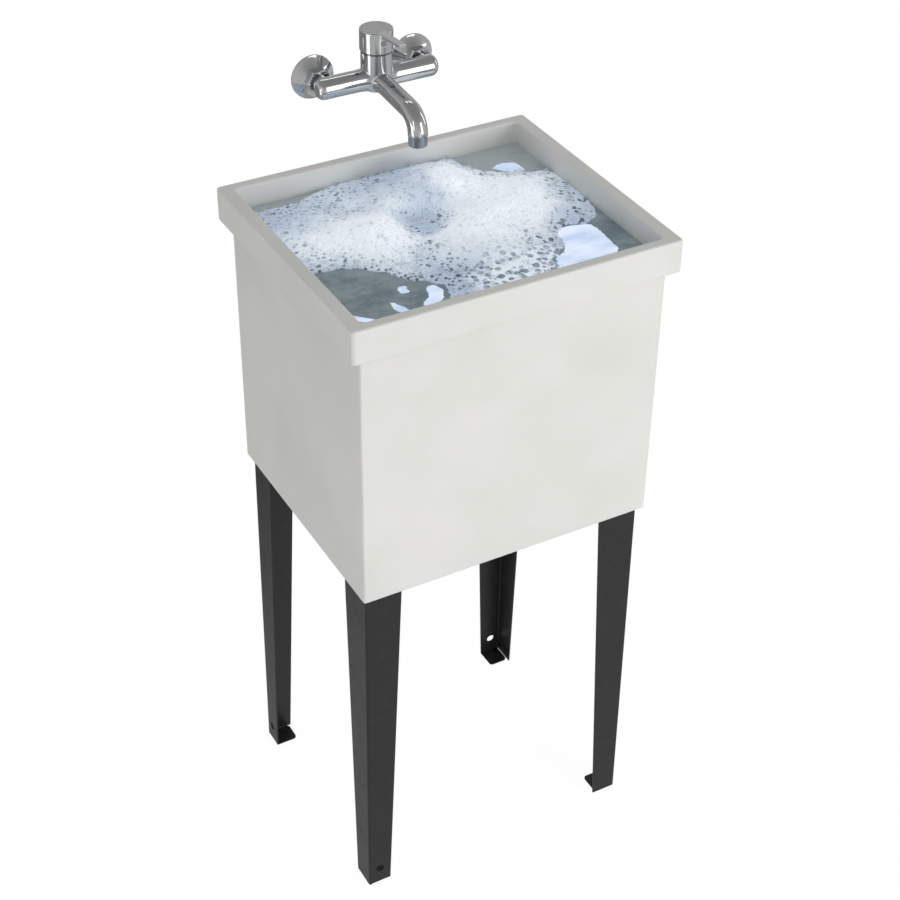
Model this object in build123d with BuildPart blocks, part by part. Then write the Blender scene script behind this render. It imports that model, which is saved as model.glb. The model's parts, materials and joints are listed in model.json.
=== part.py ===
from build123d import *

import os

# A compact utility laundry sink: a moulded tub on four folded steel legs, its drain and stopper, and the
# wall-mounted single-lever mixer that fills it. Millimetres, +Z up. The origin is on the floor, midway
# between the tub's front and the ends of the mixer's wall threads. X runs to the right, Y to the back.

# ---- Driving dimensions: tub -----------------------------------------------------------------------------
rim_width = 432.0
rim_depth = 370.0
rim_height = 914.0
rim_corner_radius = 5.0
rim_edge_radius = 3.0
rim_land_thickness = 5.0
rim_side_overhang = 14.0
rim_front_overhang = 11.0
apron_height = 43.0
apron_thickness = 4.0
apron_lip_radius = 1.2
body_corner_radius = 3.0
wall = 4.5
basin_depth = 352.0
skirt_depth = 45.0
basin_corner_radius = 7.0
basin_floor_radius = 6.0
floor_fall = 10.0
floor_thickness = 5.0
floor_rib = 3.5

# ---- Driving dimensions: legs ----------------------------------------------------------------------------
leg_gauge = 2.0
leg_inset_x = 6.0
leg_inset_y = 9.5
leg_splay = 3.0
leg_fold_radius = 3.0
leg_fold_inner_radius = 1.0
flange_a_foot = 32.0
flange_a_top = 51.0
flange_b_foot = 35.5
flange_b_top = 58.0
foot_length = 32.0
foot_slit = 1.5
foot_corner_radius = 5.0
foot_bend_radius = 1.8
foot_hole_radius = 6.0
foot_hole_along = 16.0
foot_hole_height = 26.0
socket_depth = 28.0
socket_recess = 2.0
socket_rib = 3.5
socket_fit = 0.3
screw_radius = 2.5
screw_hole_fit = 0.25
screw_along = 30.0
screw_drop = 14.0
screw_bite = 0.5
screw_head_radius = 4.6
screw_head_height = 3.4
leg_washer_radius = 6.0
leg_washer_thickness = 1.0

# ---- Driving dimensions: drain ---------------------------------------------------------------------------
drain_flange_radius = 42.0
drain_flange_thickness = 2.5
drain_flange_edge = 0.8
drain_seal_thickness = 1.0
drain_recess_fit = 0.5
drain_boss_radius = 50.0
barrel_radius = 24.0
barrel_bore = 19.5
barrel_length = 45.0
barrel_hole_fit = 0.5
throat_top_radius = 22.0
throat_bottom_radius = 20.0
throat_depth = 12.0
strainer_bar_width = 3.0
strainer_bar_height = 3.0
strainer_bar_drop = 15.0
strainer_bars = 3
strainer_hub_radius = 6.0
gasket_radius = 38.0
gasket_thickness = 3.0
locknut_radius = 33.0
locknut_height = 9.0
locknut_lug = 4.0
locknut_lug_width = 9.0
locknut_lugs = 6
thread_fit = 0.1
tailpiece_radius = 19.05
tailpiece_wall = 1.4
tailpiece_neck_relief = 0.5
tailpiece_neck_length = 10.0
tailpiece_length = 70.0
tailpiece_flange_radius = 23.5
tailpiece_flange_thickness = 2.0
tailpiece_washer_thickness = 2.0
tailpiece_nut_radius = 29.5
tailpiece_nut_height = 20.0
tailpiece_nut_end = 3.5
stopper_gap = 0.3
stopper_bottom_gap = 1.0
stopper_crown = 1.5
stopper_neck_radius = 5.0
stopper_knob_radius = 8.0
stopper_knob_height = 12.0
stopper_knob_edge = 2.0

# ---- Driving dimensions: mixer ---------------------------------------------------------------------------
wall_gap = 15.0
mixer_offset_x = -8.0
mixer_rise = 109.5
mixer_standoff = 39.0
inlet_spacing = 136.0
inlet_rise = -1.0
tube_radius = 13.4
tube_overhang = 13.5
tube_end_radius = 9.0
tube_bore = 9.0
tube_bore_drop = 2.5
housing_radius = 19.4
housing_bottom = 13.5
housing_bottom_radius = 5.0
flare_height = 2.0
flare_start = 10.0
flare_end = 30.0
cartridge_well_radius = 17.6
cartridge_well_floor = 4.8
inlet_port_radius = 2.2
inlet_port_x = 5.0
inlet_port_y = -2.0
outlet_port_radius = 3.0
outlet_port_y = 4.0
spout_radius = 12.0
spout_bore = 9.0
spout_waterway = 8.0
channel_radius = 2.8
channel_drop = 3.5
port_wall = 1.6
spout_reach = 106.0
spout_fall = 7.0
spout_drop = 43.0
spout_bend = 24.0
aerator_length = 13.0
aerator_radius = 11.5
aerator_lip = 1.5
aerator_edge = 0.8
aerator_thread = 8.0
aerator_washer_thickness = 1.2
aerator_slots = 12
aerator_slot_width = 1.4
aerator_fit = 0.1
boss_radius = 11.0
boss_bore = 8.0
boss_reach = 19.0
union_washer_thickness = 2.0
union_nut_flat = 14.5
union_nut_front = 14.5
union_nut_end = 2.7
union_collar_radius = 10.6
union_collar_thickness = 3.0
union_neck_radius = 9.0
union_neck_length = 3.0
union_step_length = 1.2
union_pipe_radius = 10.0
union_bore = 7.0
union_tail = 15.0
union_tail_radius = 10.475
rosette_radius = 28.0
rosette_depth = 12.0
rosette_neck_radius = 14.0
rosette_rim = 2.0
rosette_shell = 1.2
rosette_waist = 0.42
rosette_fit = 0.3

# ---- Driving dimensions: cartridge and lever -------------------------------------------------------------
cartridge_seal_thickness = 1.0
cartridge_base_thickness = 2.4
cartridge_radius = 17.5
cartridge_shell_height = 23.6
chamber_radius = 13.5
chamber_lip = 2.8
disc_thickness = 3.1
disc_gap = 0.3
moving_disc_radius = 9.5
moving_disc_offset = 1.4
moving_disc_thickness = 2.4
mixing_recess_width = 12.0
mixing_recess_length = 6.4
mixing_recess_y = 4.2
mixing_recess_depth = 1.2
mixing_recess_radius = 2.5
carrier_thickness = 3.8
carrier_slot_width = 5.6
carrier_slot_length = 7.4
carrier_slot_shift = 0.2
head_neck_fit = 0.3
head_slot_width = 8.6
head_slot_length = 13.8
head_slot_shift = 0.5
pivot_rise = 7.0
pin_radius = 1.5
pin_fit = 0.05
pin_length = 24.0
stem_radius = 4.0
stem_tip_radius = 2.5
stem_tip_gap = 0.8
stem_tip_length = 5.5
stem_grip = 12.0
cartridge_nut_opening = 12.0
cartridge_nut_height = 4.5
cartridge_nut_margin = 0.3
cap_gap = 0.9
cap_radius = 20.6
cap_height = 26.0
cap_edge_radius = 1.6
cap_lip = 0.8
cap_flare_height = 4.0
cap_cavity_radius = 16.6
cap_cavity_height = 7.0
lever_reach = 68.0
lever_root = 8.0
lever_root_width = 13.0
lever_root_thickness = 5.5
lever_root_corner = 1.8
lever_root_drop = 3.2
lever_tip_width = 9.5
lever_tip_thickness = 3.6
lever_tip_corner = 1.2
lever_tip_rise = 3.0
grub_inset = 6.0
grub_radius = 2.5
grub_length = 9.0
grub_fit = 0.05
plug_radius = 3.5
plug_thickness = 3.0
plug_proud = 0.3

# ---- Places worked out from the sizes --------------------------------------------------------------------
tub_y = -(wall_gap + union_tail) / 2
body_width = rim_width - 2 * rim_side_overhang
body_depth = rim_depth - 2 * rim_front_overhang
body_bottom = rim_height - basin_depth - skirt_depth
apron_bottom = rim_height - apron_height
floor_edge = rim_height - basin_depth
drain_level = floor_edge - floor_fall
recess_floor = drain_level - drain_flange_thickness - drain_seal_thickness
boss_underside = recess_floor - floor_thickness
leg_top = body_bottom + socket_depth
barrel_end = recess_floor - barrel_length
wall_plane = tub_y + rim_depth / 2 + wall_gap
mixer_height = rim_height + mixer_rise
mixer_y = wall_plane - mixer_standoff
boss_face = boss_reach + union_washer_thickness
collar_back = boss_face + union_collar_thickness
base_bottom = cartridge_well_floor + cartridge_seal_thickness
base_top = base_bottom + cartridge_base_thickness
fixed_top = base_top + disc_thickness
moving_bottom = fixed_top + disc_gap
moving_top = moving_bottom + moving_disc_thickness
carrier_top = moving_top + carrier_thickness
head_bottom = carrier_top + disc_gap
pivot_height = carrier_top + pivot_rise
cartridge_shell_top = base_top + cartridge_shell_height
housing_top = cartridge_shell_top + cartridge_nut_height + cartridge_nut_margin
cap_bottom = housing_top + cap_gap
cap_top = cap_bottom + cap_height
cavity_top = cap_bottom + cap_cavity_height
stem_tip_end = moving_top + stem_tip_gap
stem_top = cavity_top + stem_grip
grub_height = stem_top - grub_inset

TUB = Plane(origin=(0, tub_y, 0))
DRAIN_SECTION = Plane(origin=(0, tub_y, 0), x_dir=(1, 0, 0), z_dir=(0, -1, 0))
DRAIN_AXIS = Axis((0, tub_y, 0), (0, 0, 1))
VALVE_SECTION = Plane(origin=(mixer_offset_x, mixer_y, mixer_height), x_dir=(1, 0, 0), z_dir=(0, -1, 0))
SPOUT_WAY = Vector(0, -spout_reach, -spout_fall).normalized()
SPOUT_SECTION = Plane(origin=(mixer_offset_x, mixer_y, mixer_height), x_dir=SPOUT_WAY, z_dir=(-1, 0, 0))
VALVE_AXIS = Axis((mixer_offset_x, mixer_y, mixer_height), (0, 0, 1))
TUBE_AXIS = Axis((mixer_offset_x, mixer_y, mixer_height), (1, 0, 0))
SPOUT_AXIS = Axis((mixer_offset_x, mixer_y, mixer_height), SPOUT_WAY)


def mixer_plane(x, y, z, z_dir=(0, 0, 1), x_dir=(1, 0, 0)):
    """A plane placed from the centre of the mixer's valve, where its tube and housing axes cross."""
    return Plane(origin=(mixer_offset_x + x, mixer_y + y, mixer_height + z), x_dir=x_dir, z_dir=z_dir)


def between(start, end, share):
    """The value that lies this share of the way from start to end."""
    return start + (end - start) * share


# ---- Tub: rolled rim, straight walls, floor that falls to the drain, leg sockets under its corners --------
inner_width = body_width - 2 * wall
inner_depth = body_depth - 2 * wall
floor_flat_width = inner_width - 2 * basin_floor_radius
floor_flat_depth = inner_depth - 2 * basin_floor_radius
floor_flat_radius = basin_corner_radius - basin_floor_radius
drain_flat = 2 * (drain_flange_radius + drain_recess_fit)
drain_flat_radius = drain_flange_radius

# Each leg stands in a frame at its outer fold: x along flange A, y along flange B, z up. The margins are
# the distances from the fold at the floor to the body's outer faces, along -x and -y of that frame.
fold_x = body_width / 2 - leg_inset_x + leg_splay
fold_y = body_depth / 2 - leg_inset_y + leg_splay
margin_x = leg_inset_x - leg_splay
margin_y = leg_inset_y - leg_splay
LEGS = {
    "leg_front_left": (Plane(origin=(-fold_x, tub_y - fold_y, 0), x_dir=(1, 0, 0)), margin_x, margin_y),
    "leg_front_right": (Plane(origin=(fold_x, tub_y - fold_y, 0), x_dir=(0, 1, 0)), margin_y, margin_x),
    "leg_rear_right": (Plane(origin=(fold_x, tub_y + fold_y, 0), x_dir=(-1, 0, 0)), margin_x, margin_y),
    "leg_rear_left": (Plane(origin=(-fold_x, tub_y + fold_y, 0), x_dir=(0, -1, 0)), margin_y, margin_x),
}
rib_face = leg_splay + leg_gauge + socket_fit + socket_rib
screw_height = leg_top - screw_drop


def leg_section(height, grow=0.0):
    """The corners of a leg's angle section at a height, grown all round by a fit."""
    share = height / leg_top
    fold = leg_splay * share
    outer = fold - grow
    inner = fold + leg_gauge + grow
    end_a = fold + between(flange_a_foot, flange_a_top, share) + grow
    end_b = fold + between(flange_b_foot, flange_b_top, share) + grow
    return [(outer, outer), (end_a, outer), (end_a, inner), (inner, inner), (inner, end_b), (outer, end_b)]


def screw_seat(frame):
    """Where a leg's screw seats on the socket's rib: a plane that faces outwards through flange A."""
    seat = frame.from_local_coords((screw_along, rib_face, screw_height))
    return Plane(origin=seat, z_dir=-frame.y_dir)


# The space inside the basin, cut from the tub at the end.
with BuildPart() as basin_space:
    with BuildSketch(TUB.offset(floor_edge)):
        RectangleRounded(inner_width, inner_depth, basin_corner_radius)
    extrude(amount=basin_depth)
    fillet(basin_space.edges().group_by(Axis.Z)[0], basin_floor_radius)
    with BuildSketch(TUB.offset(floor_edge)):
        RectangleRounded(floor_flat_width, floor_flat_depth, floor_flat_radius)
    with BuildSketch(TUB.offset(drain_level)):
        RectangleRounded(drain_flat, drain_flat, drain_flat_radius)
    loft(ruled=True)

# The underside of the basin's floor, one floor thickness below the space inside.
with BuildPart() as floor_pan:
    with BuildSketch(TUB.offset(floor_edge - floor_thickness)):
        RectangleRounded(inner_width + wall, inner_depth + wall, body_corner_radius)
    extrude(amount=floor_thickness)
    with BuildSketch(TUB.offset(floor_edge - floor_thickness)):
        RectangleRounded(floor_flat_width, floor_flat_depth, floor_flat_radius)
    with BuildSketch(TUB.offset(drain_level - floor_thickness)):
        RectangleRounded(drain_flat, drain_flat, drain_flat_radius)
    loft(ruled=True)

with BuildPart() as tub:
    # The rim's block, with the lip of its apron rounded.
    with BuildSketch(TUB.offset(apron_bottom)):
        RectangleRounded(rim_width, rim_depth, rim_corner_radius)
    extrude(amount=apron_height)
    fillet(tub.edges().group_by(Axis.Z)[0], apron_lip_radius)
    # The hollow behind the apron, and the body's walls.
    with BuildSketch(TUB.offset(apron_bottom)):
        RectangleRounded(
            rim_width - 2 * apron_thickness,
            rim_depth - 2 * apron_thickness,
            rim_corner_radius - apron_thickness,
        )
    extrude(amount=apron_height - rim_land_thickness, mode=Mode.SUBTRACT)
    with BuildSketch(TUB.offset(body_bottom)):
        RectangleRounded(body_width, body_depth, body_corner_radius)
        RectangleRounded(inner_width, inner_depth, body_corner_radius, mode=Mode.SUBTRACT)
    extrude(amount=floor_edge - body_bottom)
    with BuildSketch(TUB.offset(floor_edge)):
        RectangleRounded(body_width, body_depth, body_corner_radius)
    extrude(amount=basin_depth)
    # The floor and its ribs, the boss that the drain clamps on, and the four corner sockets.
    add(floor_pan.part)
    with BuildSketch(TUB.offset(boss_underside)):
        Rectangle(inner_width + wall, floor_rib)
        Rectangle(floor_rib, inner_depth + wall)
    extrude(amount=floor_edge - boss_underside)
    with BuildSketch(TUB.offset(boss_underside)):
        Circle(drain_boss_radius)
    extrude(amount=drain_level - boss_underside)
    for frame, margin_a, margin_b in LEGS.values():
        reach_a = leg_splay + flange_a_top + socket_fit + socket_rib
        reach_b = leg_splay + flange_b_top + socket_fit + socket_rib
        back_a = wall / 2 - margin_a
        back_b = wall / 2 - margin_b
        with BuildSketch(frame.offset(body_bottom + socket_recess)):
            Polygon(
                (back_a, back_b),
                (reach_a, back_b),
                (reach_a, rib_face),
                (rib_face, rib_face),
                (rib_face, reach_b),
                (back_a, reach_b),
                align=None,
            )
        extrude(amount=floor_edge - body_bottom - socket_recess)
    add(basin_space.part, mode=Mode.SUBTRACT)
    # The slots that the legs stand in, and the holes for their screws.
    for frame, _, _ in LEGS.values():
        with BuildSketch(frame.offset(body_bottom)):
            Polygon(*leg_section(body_bottom, socket_fit), align=None)
        with BuildSketch(frame.offset(leg_top)):
            Polygon(*leg_section(leg_top, socket_fit), align=None)
        loft(ruled=True, mode=Mode.SUBTRACT)
        with BuildSketch(screw_seat(frame)):
            Circle(screw_radius + screw_hole_fit)
        extrude(amount=rib_face - leg_splay + 2 * screw_bite, mode=Mode.SUBTRACT)
    # The drain's recess and hole.
    with BuildSketch(TUB.offset(recess_floor)):
        Circle(drain_flange_radius + drain_recess_fit)
    extrude(amount=floor_fall, mode=Mode.SUBTRACT)
    with BuildSketch(TUB.offset(boss_underside)):
        Circle(barrel_radius + barrel_hole_fit)
    extrude(amount=floor_fall, mode=Mode.SUBTRACT)
    fillet(tub.edges().group_by(Axis.Z)[-1], rim_edge_radius)

# ---- Legs: a folded and tapered angle, the foot tab bent inwards from flange A ---------------------------


def make_leg(frame):
    """One leg in its corner's frame."""
    with BuildPart() as leg:
        with BuildSketch(frame):
            Polygon(*leg_section(0), align=None)
        with BuildSketch(frame.offset(leg_top)):
            Polygon(*leg_section(leg_top), align=None)
        loft(ruled=True)
        half = leg_splay / 2
        outer_fold = frame.from_local_coords((half, half, leg_top / 2))
        inner_fold = frame.from_local_coords((half + leg_gauge, half + leg_gauge, leg_top / 2))
        fillet(leg.edges().sort_by_distance(outer_fold)[0], leg_fold_radius)
        fillet(leg.edges().sort_by_distance(inner_fold)[0], leg_fold_inner_radius)
        tab_start = leg_gauge + foot_slit
        with BuildSketch(frame):
            Polygon(
                (tab_start, 0),
                (flange_a_foot, 0),
                (flange_a_foot, foot_length),
                (tab_start, foot_length),
                align=None,
            )
        extrude(amount=leg_gauge)
        for along in (tab_start, flange_a_foot):
            corner = frame.from_local_coords((along, foot_length, leg_gauge / 2))
            fillet(leg.edges().sort_by_distance(corner)[0], foot_corner_radius)
        bend_start = frame.from_local_coords((tab_start, 0, 0))
        with BuildSketch(Plane(origin=bend_start, x_dir=frame.y_dir, z_dir=frame.x_dir)):
            Rectangle(foot_bend_radius, foot_bend_radius, align=Align.MIN)
            with Locations((foot_bend_radius, foot_bend_radius)):
                Circle(foot_bend_radius, mode=Mode.SUBTRACT)
        extrude(amount=flange_a_foot, mode=Mode.SUBTRACT)
        hole_start = frame.from_local_coords((foot_hole_along, -leg_gauge, foot_hole_height))
        with BuildSketch(Plane(origin=hole_start, z_dir=frame.y_dir)):
            Circle(foot_hole_radius)
        extrude(amount=3 * leg_gauge, mode=Mode.SUBTRACT)
        with BuildSketch(screw_seat(frame)):
            Circle(screw_radius + screw_hole_fit)
        extrude(amount=rib_face, mode=Mode.SUBTRACT)
    return leg


legs = {name: make_leg(frame) for name, (frame, _, _) in LEGS.items()}

with BuildPart() as leg_washers:
    for frame, _, _ in LEGS.values():
        with BuildSketch(screw_seat(frame)):
            Circle(leg_washer_radius)
            Circle(screw_radius + screw_hole_fit, mode=Mode.SUBTRACT)
        extrude(amount=-leg_washer_thickness)

with BuildPart() as leg_screws:
    for frame, _, _ in LEGS.values():
        with BuildSketch(screw_seat(frame).offset(-leg_washer_thickness)):
            RegularPolygon(screw_head_radius, 6)
        extrude(amount=-screw_head_height)
        with BuildSketch(screw_seat(frame).offset(-leg_washer_thickness)):
            Circle(screw_radius)
        extrude(amount=leg_washer_thickness + rib_face - leg_splay + screw_bite)

# ---- Drain: strainer through the floor, clamped by a locknut, with the outlet tailpiece below -------------
seal_top = recess_floor + drain_seal_thickness
throat_bottom = drain_level - throat_depth

with BuildPart() as drain_strainer:
    with BuildSketch(DRAIN_SECTION):
        Polygon(
            (throat_top_radius, drain_level),
            (drain_flange_radius, drain_level),
            (drain_flange_radius, seal_top),
            (barrel_radius, seal_top),
            (barrel_radius, barrel_end),
            (barrel_bore, barrel_end),
            (barrel_bore, throat_bottom),
            (throat_bottom_radius, throat_bottom),
            align=None,
        )
    revolve(axis=DRAIN_AXIS)
    rim_edge = (drain_flange_radius, tub_y, drain_level)
    fillet(drain_strainer.edges().sort_by_distance(rim_edge)[0], drain_flange_edge)
    bar_level = drain_level - strainer_bar_drop - strainer_bar_height
    with BuildSketch(TUB.offset(bar_level)):
        Circle(strainer_hub_radius)
        with PolarLocations(0, strainer_bars, angular_range=180):
            Rectangle(barrel_bore + barrel_radius, strainer_bar_width)
    extrude(amount=strainer_bar_height)

with BuildPart() as drain_seal:
    with BuildSketch(TUB.offset(recess_floor)):
        Circle(drain_flange_radius - drain_recess_fit)
        Circle(barrel_radius + barrel_hole_fit, mode=Mode.SUBTRACT)
    extrude(amount=drain_seal_thickness)

with BuildPart() as drain_gasket:
    with BuildSketch(TUB.offset(boss_underside)):
        Circle(gasket_radius)
        Circle(barrel_radius + thread_fit, mode=Mode.SUBTRACT)
    extrude(amount=-gasket_thickness)

locknut_top = boss_underside - gasket_thickness
with BuildPart() as drain_locknut:
    with BuildSketch(TUB.offset(locknut_top)):
        Circle(locknut_radius)
        with PolarLocations(locknut_radius, locknut_lugs):
            Rectangle(2 * locknut_lug, locknut_lug_width)
        Circle(barrel_radius + thread_fit, mode=Mode.SUBTRACT)
    extrude(amount=-locknut_height)

washer_bottom = barrel_end - tailpiece_washer_thickness
tail_flange_bottom = washer_bottom - tailpiece_flange_thickness
tail_end = washer_bottom - tailpiece_length
with BuildPart() as tailpiece_washer:
    with BuildSketch(TUB.offset(washer_bottom)):
        Circle(tailpiece_flange_radius)
        Circle(tailpiece_radius - tailpiece_wall, mode=Mode.SUBTRACT)
    extrude(amount=tailpiece_washer_thickness)

with BuildPart() as tailpiece:
    neck_radius = tailpiece_radius - tailpiece_neck_relief
    neck_end = tail_flange_bottom - tailpiece_neck_length
    with BuildSketch(DRAIN_SECTION):
        Polygon(
            (tailpiece_radius - tailpiece_wall, washer_bottom),
            (tailpiece_flange_radius, washer_bottom),
            (tailpiece_flange_radius, tail_flange_bottom),
            (neck_radius, tail_flange_bottom),
            (neck_radius, neck_end),
            (tailpiece_radius, neck_end),
            (tailpiece_radius, tail_end),
            (tailpiece_radius - tailpiece_wall, tail_end),
            align=None,
        )
    revolve(axis=DRAIN_AXIS)

with BuildPart() as tailpiece_nut:
    nut_bottom = tail_flange_bottom - tailpiece_nut_end
    with BuildSketch(TUB.offset(nut_bottom)):
        RegularPolygon(tailpiece_nut_radius, 8, major_radius=False)
        Circle(tailpiece_radius + thread_fit, mode=Mode.SUBTRACT)
    extrude(amount=tailpiece_nut_height)
    with BuildSketch(TUB.offset(tail_flange_bottom)):
        Circle(barrel_radius + thread_fit)
    extrude(amount=tailpiece_nut_height, mode=Mode.SUBTRACT)

# The rubber stopper, a cone that hangs one gap inside the strainer's throat, with a pull knob.
with BuildPart() as stopper:
    throat_slope = (throat_top_radius - throat_bottom_radius) / throat_depth
    stopper_bottom = throat_bottom + stopper_bottom_gap
    bottom_radius = throat_bottom_radius + throat_slope * stopper_bottom_gap - stopper_gap
    top_radius = throat_top_radius - stopper_gap
    crown = drain_level + stopper_crown
    knob_top = crown + stopper_knob_height
    with BuildSketch(DRAIN_SECTION):
        with BuildLine():
            Polyline((0, crown), (0, stopper_bottom), (bottom_radius, stopper_bottom))
            Line((bottom_radius, stopper_bottom), (top_radius, drain_level))
            Line((top_radius, drain_level), (stopper_neck_radius, crown))
            ThreePointArc(
                (stopper_neck_radius, crown),
                (stopper_neck_radius - stopper_knob_edge / 2, crown + stopper_knob_height / 3),
                (stopper_knob_radius, knob_top - stopper_knob_edge),
            )
            Polyline((stopper_knob_radius, knob_top - stopper_knob_edge), (stopper_knob_radius, knob_top))
            Polyline((stopper_knob_radius, knob_top), (0, knob_top), (0, crown))
        make_face()
    revolve(axis=DRAIN_AXIS)
    fillet(stopper.edges().group_by(Axis.Z)[-1], stopper_knob_edge / 2)

# ---- Mixer: one casting of tube, valve housing and spout, with two inlet bosses behind --------------------
tube_half = inlet_spacing / 2 + tube_overhang
spout_end = spout_drop - aerator_length
spout_start = flare_end + flare_height


def draw_arm(radius, length):
    """Half the outline of an arm that swells towards the valve housing, drawn along the arm's axis."""
    Polyline((0, 0), (0, radius + flare_height), (flare_start, radius + flare_height))
    TangentArc((flare_end, radius), (flare_start, radius + flare_height), tangent=(-1, 0))
    Polyline((flare_end, radius), (length, radius), (length, 0), (0, 0))


def spout_root(start):
    """The plane across the spout at a distance from the housing's axis."""
    origin = Vector(mixer_offset_x, mixer_y, mixer_height) + SPOUT_WAY * start
    return Plane(origin=origin, x_dir=(1, 0, 0), z_dir=SPOUT_WAY)


def draw_spout(start):
    """The centre line of the spout from a distance ahead of the housing's axis to the aerator's seat."""
    FilletPolyline(
        spout_root(start).origin,
        (mixer_offset_x, mixer_y - spout_reach, mixer_height - spout_fall),
        (mixer_offset_x, mixer_y - spout_reach, mixer_height - spout_end),
        radius=spout_bend,
    )


with BuildPart() as mixer_body:
    # The outside: an arm and its mirror, the housing, the spout and two bosses.
    with BuildSketch(VALVE_SECTION):
        with BuildLine():
            draw_arm(tube_radius, tube_half)
        make_face()
    revolve(axis=TUBE_AXIS)
    mirror(about=mixer_plane(0, 0, 0, z_dir=(1, 0, 0), x_dir=(0, 1, 0)))
    tube_edges = mixer_body.edges().sort_by(Axis.X)
    fillet([tube_edges[0], tube_edges[-1]], tube_end_radius)
    with BuildSketch(VALVE_SECTION):
        with BuildLine():
            base = Line((0, -housing_bottom), (housing_radius - housing_bottom_radius, -housing_bottom))
            bowl_top = (housing_radius, housing_bottom_radius - housing_bottom)
            TangentArc(base @ 1, bowl_top, tangent=base % 1)
            Polyline(bowl_top, (housing_radius, housing_top), (0, housing_top), (0, -housing_bottom))
        make_face()
    revolve(axis=VALVE_AXIS)
    with BuildSketch(SPOUT_SECTION):
        with BuildLine():
            draw_arm(spout_radius, spout_start)
        make_face()
    revolve(axis=SPOUT_AXIS)
    with BuildLine() as spout_line:
        draw_spout(spout_start)
    with BuildSketch(spout_root(spout_start)):
        Circle(spout_radius)
    sweep(path=spout_line.wires()[0])
    for side in (-1, 1):
        with BuildSketch(mixer_plane(side * inlet_spacing / 2, 0, 0, z_dir=(0, 1, 0))):
            Circle(boss_radius)
        extrude(amount=boss_reach)
    # The inlet waterways: a bore in each boss, one along each half of the tube, and a port up to the well.
    tube_bore_start = outlet_port_radius + port_wall
    inlet_port_start = tube_bore / 2 - tube_bore_drop - port_wall
    for side in (-1, 1):
        with BuildSketch(mixer_plane(side * inlet_spacing / 2, 0, 0, z_dir=(0, 1, 0))):
            Circle(boss_bore)
        extrude(amount=boss_reach, mode=Mode.SUBTRACT)
        bore_plane = mixer_plane(side * tube_bore_start, 0, -tube_bore_drop, (side, 0, 0), (0, 1, 0))
        with BuildSketch(bore_plane):
            Circle(tube_bore / 2)
        extrude(amount=inlet_spacing / 2 - tube_bore_start, mode=Mode.SUBTRACT)
        with BuildSketch(mixer_plane(side * inlet_port_x, inlet_port_y, inlet_port_start)):
            Circle(inlet_port_radius)
        extrude(amount=cartridge_well_floor, mode=Mode.SUBTRACT)
    # The outlet waterway: a port down from the well, a channel forward between the inlets, the spout's bore.
    port_depth = channel_drop + channel_radius + port_wall / 2
    with BuildSketch(mixer_plane(0, outlet_port_y, -port_depth)):
        Circle(outlet_port_radius)
    extrude(amount=port_depth + cartridge_well_floor, mode=Mode.SUBTRACT)
    with BuildSketch(mixer_plane(0, outlet_port_y, -channel_drop, z_dir=(0, -1, 0))):
        Circle(channel_radius)
    extrude(amount=outlet_port_y + housing_radius + channel_radius, mode=Mode.SUBTRACT)
    with BuildLine() as waterway_line:
        draw_spout(housing_radius)
    with BuildSketch(spout_root(housing_radius)):
        Circle(spout_waterway)
    sweep(path=waterway_line.wires()[0], mode=Mode.SUBTRACT)
    with BuildSketch(mixer_plane(0, -spout_reach, -spout_end)):
        Circle(spout_bore)
    extrude(amount=aerator_thread + aerator_washer_thickness, mode=Mode.SUBTRACT)
    # The well for the cartridge.
    with BuildSketch(mixer_plane(0, 0, cartridge_well_floor)):
        Circle(cartridge_well_radius)
    extrude(amount=housing_top, mode=Mode.SUBTRACT)

with BuildPart() as aerator_washer:
    with BuildSketch(mixer_plane(0, -spout_reach, aerator_thread - spout_end)):
        Circle(spout_bore - aerator_fit)
        Circle(spout_bore / 2, mode=Mode.SUBTRACT)
    extrude(amount=aerator_washer_thickness)

insert_radius = spout_bore - aerator_lip
with BuildPart() as aerator_housing:
    with BuildSketch(mixer_plane(0, -spout_reach, -spout_drop)):
        Circle(aerator_radius)
        Circle(insert_radius, mode=Mode.SUBTRACT)
    extrude(amount=aerator_length)
    with BuildSketch(mixer_plane(0, -spout_reach, -spout_end)):
        Circle(spout_bore - aerator_fit)
        Circle(insert_radius, mode=Mode.SUBTRACT)
    extrude(amount=aerator_thread)
    fillet(aerator_housing.edges().group_by(Axis.Z)[0], aerator_edge)

with BuildPart() as aerator_insert:
    with BuildSketch(mixer_plane(0, -spout_reach, -spout_drop + aerator_lip)):
        Circle(insert_radius - aerator_fit)
        with PolarLocations(insert_radius / 2 + aerator_slot_width, aerator_slots):
            Rectangle(insert_radius / 2, aerator_slot_width, mode=Mode.SUBTRACT)
    extrude(amount=aerator_length)


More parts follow.
